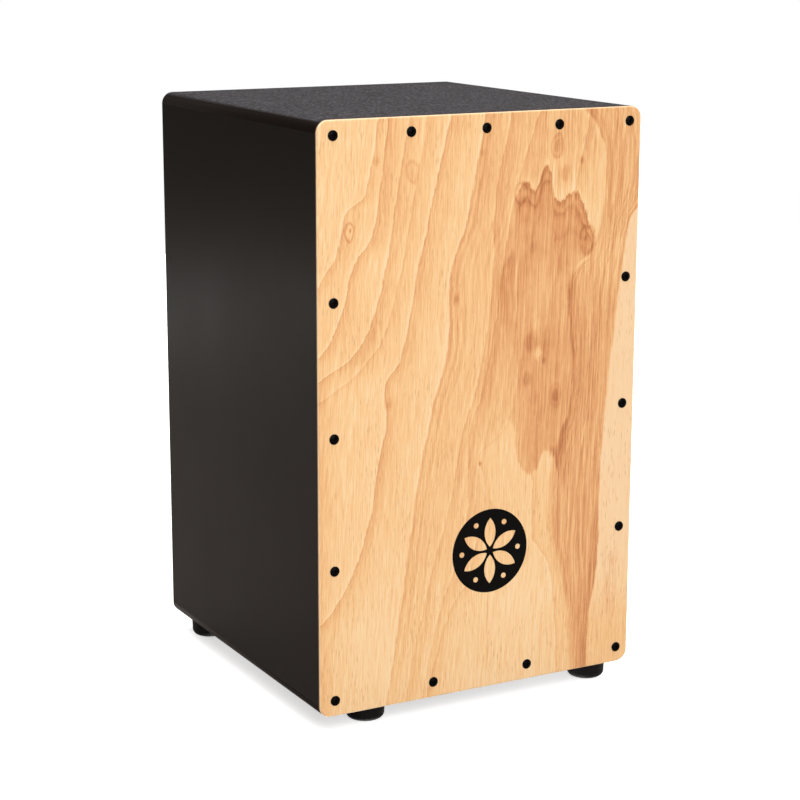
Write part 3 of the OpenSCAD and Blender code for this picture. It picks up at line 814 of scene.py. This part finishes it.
def new_piece(name, mesh, paint, body):
    """A mesh in millimetres as a piece that rides on a body."""
    mesh.transform(Matrix.Scale(MM, 4))
    mesh.materials.append(paint.material)
    piece = bpy.data.objects.new(name, mesh)
    bpy.context.scene.collection.objects.link(piece)
    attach(piece, body)
    return piece


# The printed rosette, in millimetres: film thickness, place of its middle, disc, petals and dots
FILM = 0.08
ROSETTE_X, ROSETTE_Z = 8.7, 135.7
DISC_R = 36.0
PETALS, PETAL_LENGTH, PETAL_WIDTH, PETAL_START = 6, 25.0, 10.5, 3.4
DOT_R, DOT_AWAY = 2.3, 27.0


def petal(length, width, steps):
    """Outline of a petal between two arcs, from the origin along +X."""
    radius = (length * length + width * width) / (4 * width)
    half = math.asin(length / 2 / radius)
    arc = []
    for i in range(steps + 1):
        angle = half * (2 * i / steps - 1)
        arc.append((length / 2 + radius * math.sin(angle), radius * (math.cos(angle) - math.cos(half))))
    return arc[:-1] + [(x, -y) for x, y in reversed(arc[1:])]


def circle(radius, steps):
    """Outline of a circle round the origin."""
    angles = [math.tau * i / steps for i in range(steps)]
    return [(radius * math.cos(angle), radius * math.sin(angle)) for angle in angles]


def placed(outline, away, turn):
    """An outline moved out along +X, then turned about the origin."""
    c, s = math.cos(turn), math.sin(turn)
    return [((x + away) * c - y * s, (x + away) * s + y * c) for x, y in outline]


def make_rosette(paint):
    """A black printed disc on the playing face, with a six-petalled flower and dots left in bare wood."""
    step = math.tau / PETALS
    outlines = [circle(DISC_R, 120)]
    for i in range(PETALS):
        turn = step * (i + 0.5)
        outlines.append(placed(petal(PETAL_LENGTH, PETAL_WIDTH, 20), PETAL_START, turn))
        outlines.append(placed(circle(DOT_R, 24), DOT_AWAY, turn + step / 2))
    drawing = bpy.data.curves.new("rosette", "CURVE")
    drawing.dimensions = "2D"
    drawing.fill_mode = "BOTH"
    drawing.extrude = FILM / 2
    for outline in outlines:
        spline = drawing.splines.new("POLY")
        spline.points.add(len(outline) - 1)
        for point, (x, y) in zip(spline.points, outline):
            point.co = (x, y, 0, 1)
        spline.use_cyclic_u = True
    sketch = bpy.data.objects.new("sketch", drawing)
    mesh = bpy.data.meshes.new_from_object(sketch)
    bpy.data.objects.remove(sketch)
    shape = bmesh.new()
    shape.from_mesh(mesh)
    bmesh.ops.remove_doubles(shape, verts=shape.verts, dist=0.001)
    bmesh.ops.recalc_face_normals(shape, faces=shape.faces)
    shape.to_mesh(mesh)
    shape.free()
    middle = (ROSETTE_X, FACE_LOW.y / MM - FILM / 2, ROSETTE_Z)
    mesh.transform(Matrix.Translation(middle) @ Matrix.Rotation(math.pi / 2, 4, "X"))
    new_piece("printed_rosette", mesh, paint, "root")


# Snares, in millimetres: a fan's hinge stands HINGE_X to its side of the middle and leans outwards, and its
# strands of coiled wire stand side by side, drawn with this many points a turn and sides round the wire
HINGE_X, HINGE_Y, HINGE_Z = 62.0, -148.75, 343.0
FAN_LEAN = math.radians(12)
STRANDS, STRAND_PITCH, STRAND_LENGTH = 10, 5.0, 120.0
COIL_R, WIRE_R, COIL_PITCH = 0.79, 0.20, 1.6
TURN_STEPS, WIRE_SIDES = 9, 5
OUTWARD = Vector((0, -1, 0))


def coil(foot, across, upward, start):
    """Points of one strand of coiled wire, ring after ring of wire section, from its foot up."""
    rings = int((STRAND_LENGTH - 2 * WIRE_R) / COIL_PITCH * TURN_STEPS)
    climb = math.atan2(COIL_PITCH, math.tau * COIL_R)
    points = []
    for ring in range(rings + 1):
        angle = math.tau * ring / TURN_STEPS + start
        radial = across * math.cos(angle) + OUTWARD * math.sin(angle)
        tangent = OUTWARD * math.cos(angle) - across * math.sin(angle)
        rise = upward * math.cos(climb) - tangent * math.sin(climb)
        spot = foot + radial * COIL_R + upward * (WIRE_R + COIL_PITCH * ring / TURN_STEPS)
        for i in range(WIRE_SIDES):
            around = math.tau * i / WIRE_SIDES
            points.append(spot + (radial * math.cos(around) + rise * math.sin(around)) * WIRE_R)
    return points


def tube_faces(first, count):
    """Faces of a closed tube over count points from first on, in rings of WIRE_SIDES."""
    faces = []
    for low in range(first, first + count - WIRE_SIDES, WIRE_SIDES):
        high = low + WIRE_SIDES
        for i in range(WIRE_SIDES):
            after = (i + 1) % WIRE_SIDES
            faces.append((low + i, low + after, high + after, high + i))
    last = first + count - WIRE_SIDES
    faces.append(tuple(first + i for i in reversed(range(WIRE_SIDES))))
    faces.append(tuple(last + i for i in range(WIRE_SIDES)))
    return faces


def make_snare(side, label, paint):
    """One fan of coiled strands, which stands for the plain rods of the frame."""
    hinge = Vector((side * HINGE_X, HINGE_Y, HINGE_Z))
    turn = -side * FAN_LEAN
    across = Vector((math.cos(turn), 0, math.sin(turn)))
    upward = Vector((-math.sin(turn), 0, math.cos(turn)))
    points, faces = [], []
    for strand in range(STRANDS):
        foot = hinge + across * ((strand - (STRANDS - 1) / 2) * STRAND_PITCH)
        wire = coil(foot, across, upward, strand)
        faces += tube_faces(len(points), len(wire))
        points += wire
    mesh = bpy.data.meshes.new(f"snare_coils_{label}")
    mesh.from_pydata(points, [], faces)
    shape = bmesh.new()
    shape.from_mesh(mesh)
    bmesh.ops.recalc_face_normals(shape, faces=shape.faces)
    for face in shape.faces:
        face.smooth = len(face.verts) == 4
    shape.to_mesh(mesh)
    shape.free()
    piece = new_piece(f"snare_coils_{label}", mesh, paint, f"{label}_snare")
    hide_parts(f"snare_wires_{label}")


# ---------------------------------------------------------------- the scene

make_camera()
make_veneer()
make_box_paint()
make_pine("pine_upright", UPRIGHT_BATTENS, 2)
make_pine("pine_level", LEVEL_BATTENS, 0)
make_pine("pine_deep", GLUE_BLOCKS, 1)
make_metal("black_steel", FACE_SCREWS, (8, 8, 9), (4, 4, 5), (0.36, 0.52), metallic=0.0, specular=0.05)
make_metal("zinc_steel", ZINC_PARTS, (205, 208, 212), (170, 173, 178), (0.22, 0.42))
wire_steel = make_metal("snare_steel", SNARE_WIRES, (188, 190, 194), (150, 152, 157), (0.25, 0.40))
ink = make_metal("printing_ink", [], (9, 8, 9), (4, 4, 4), (0.42, 0.55), metallic=0.0, specular=0.08)
make_rubber()
make_rosette(ink)
make_snare(-1, "left", wire_steel)
make_snare(1, "right", wire_steel)

ease_edges(PANELS, 0.35)
ease_edges(UPRIGHT_BATTENS + LEVEL_BATTENS, 0.6)

for softbox in SOFTBOXES:
    add_softbox(*softbox)
add_sun()
make_floor()
make_world()
bpy.context.scene.view_settings.view_transform = "Standard"
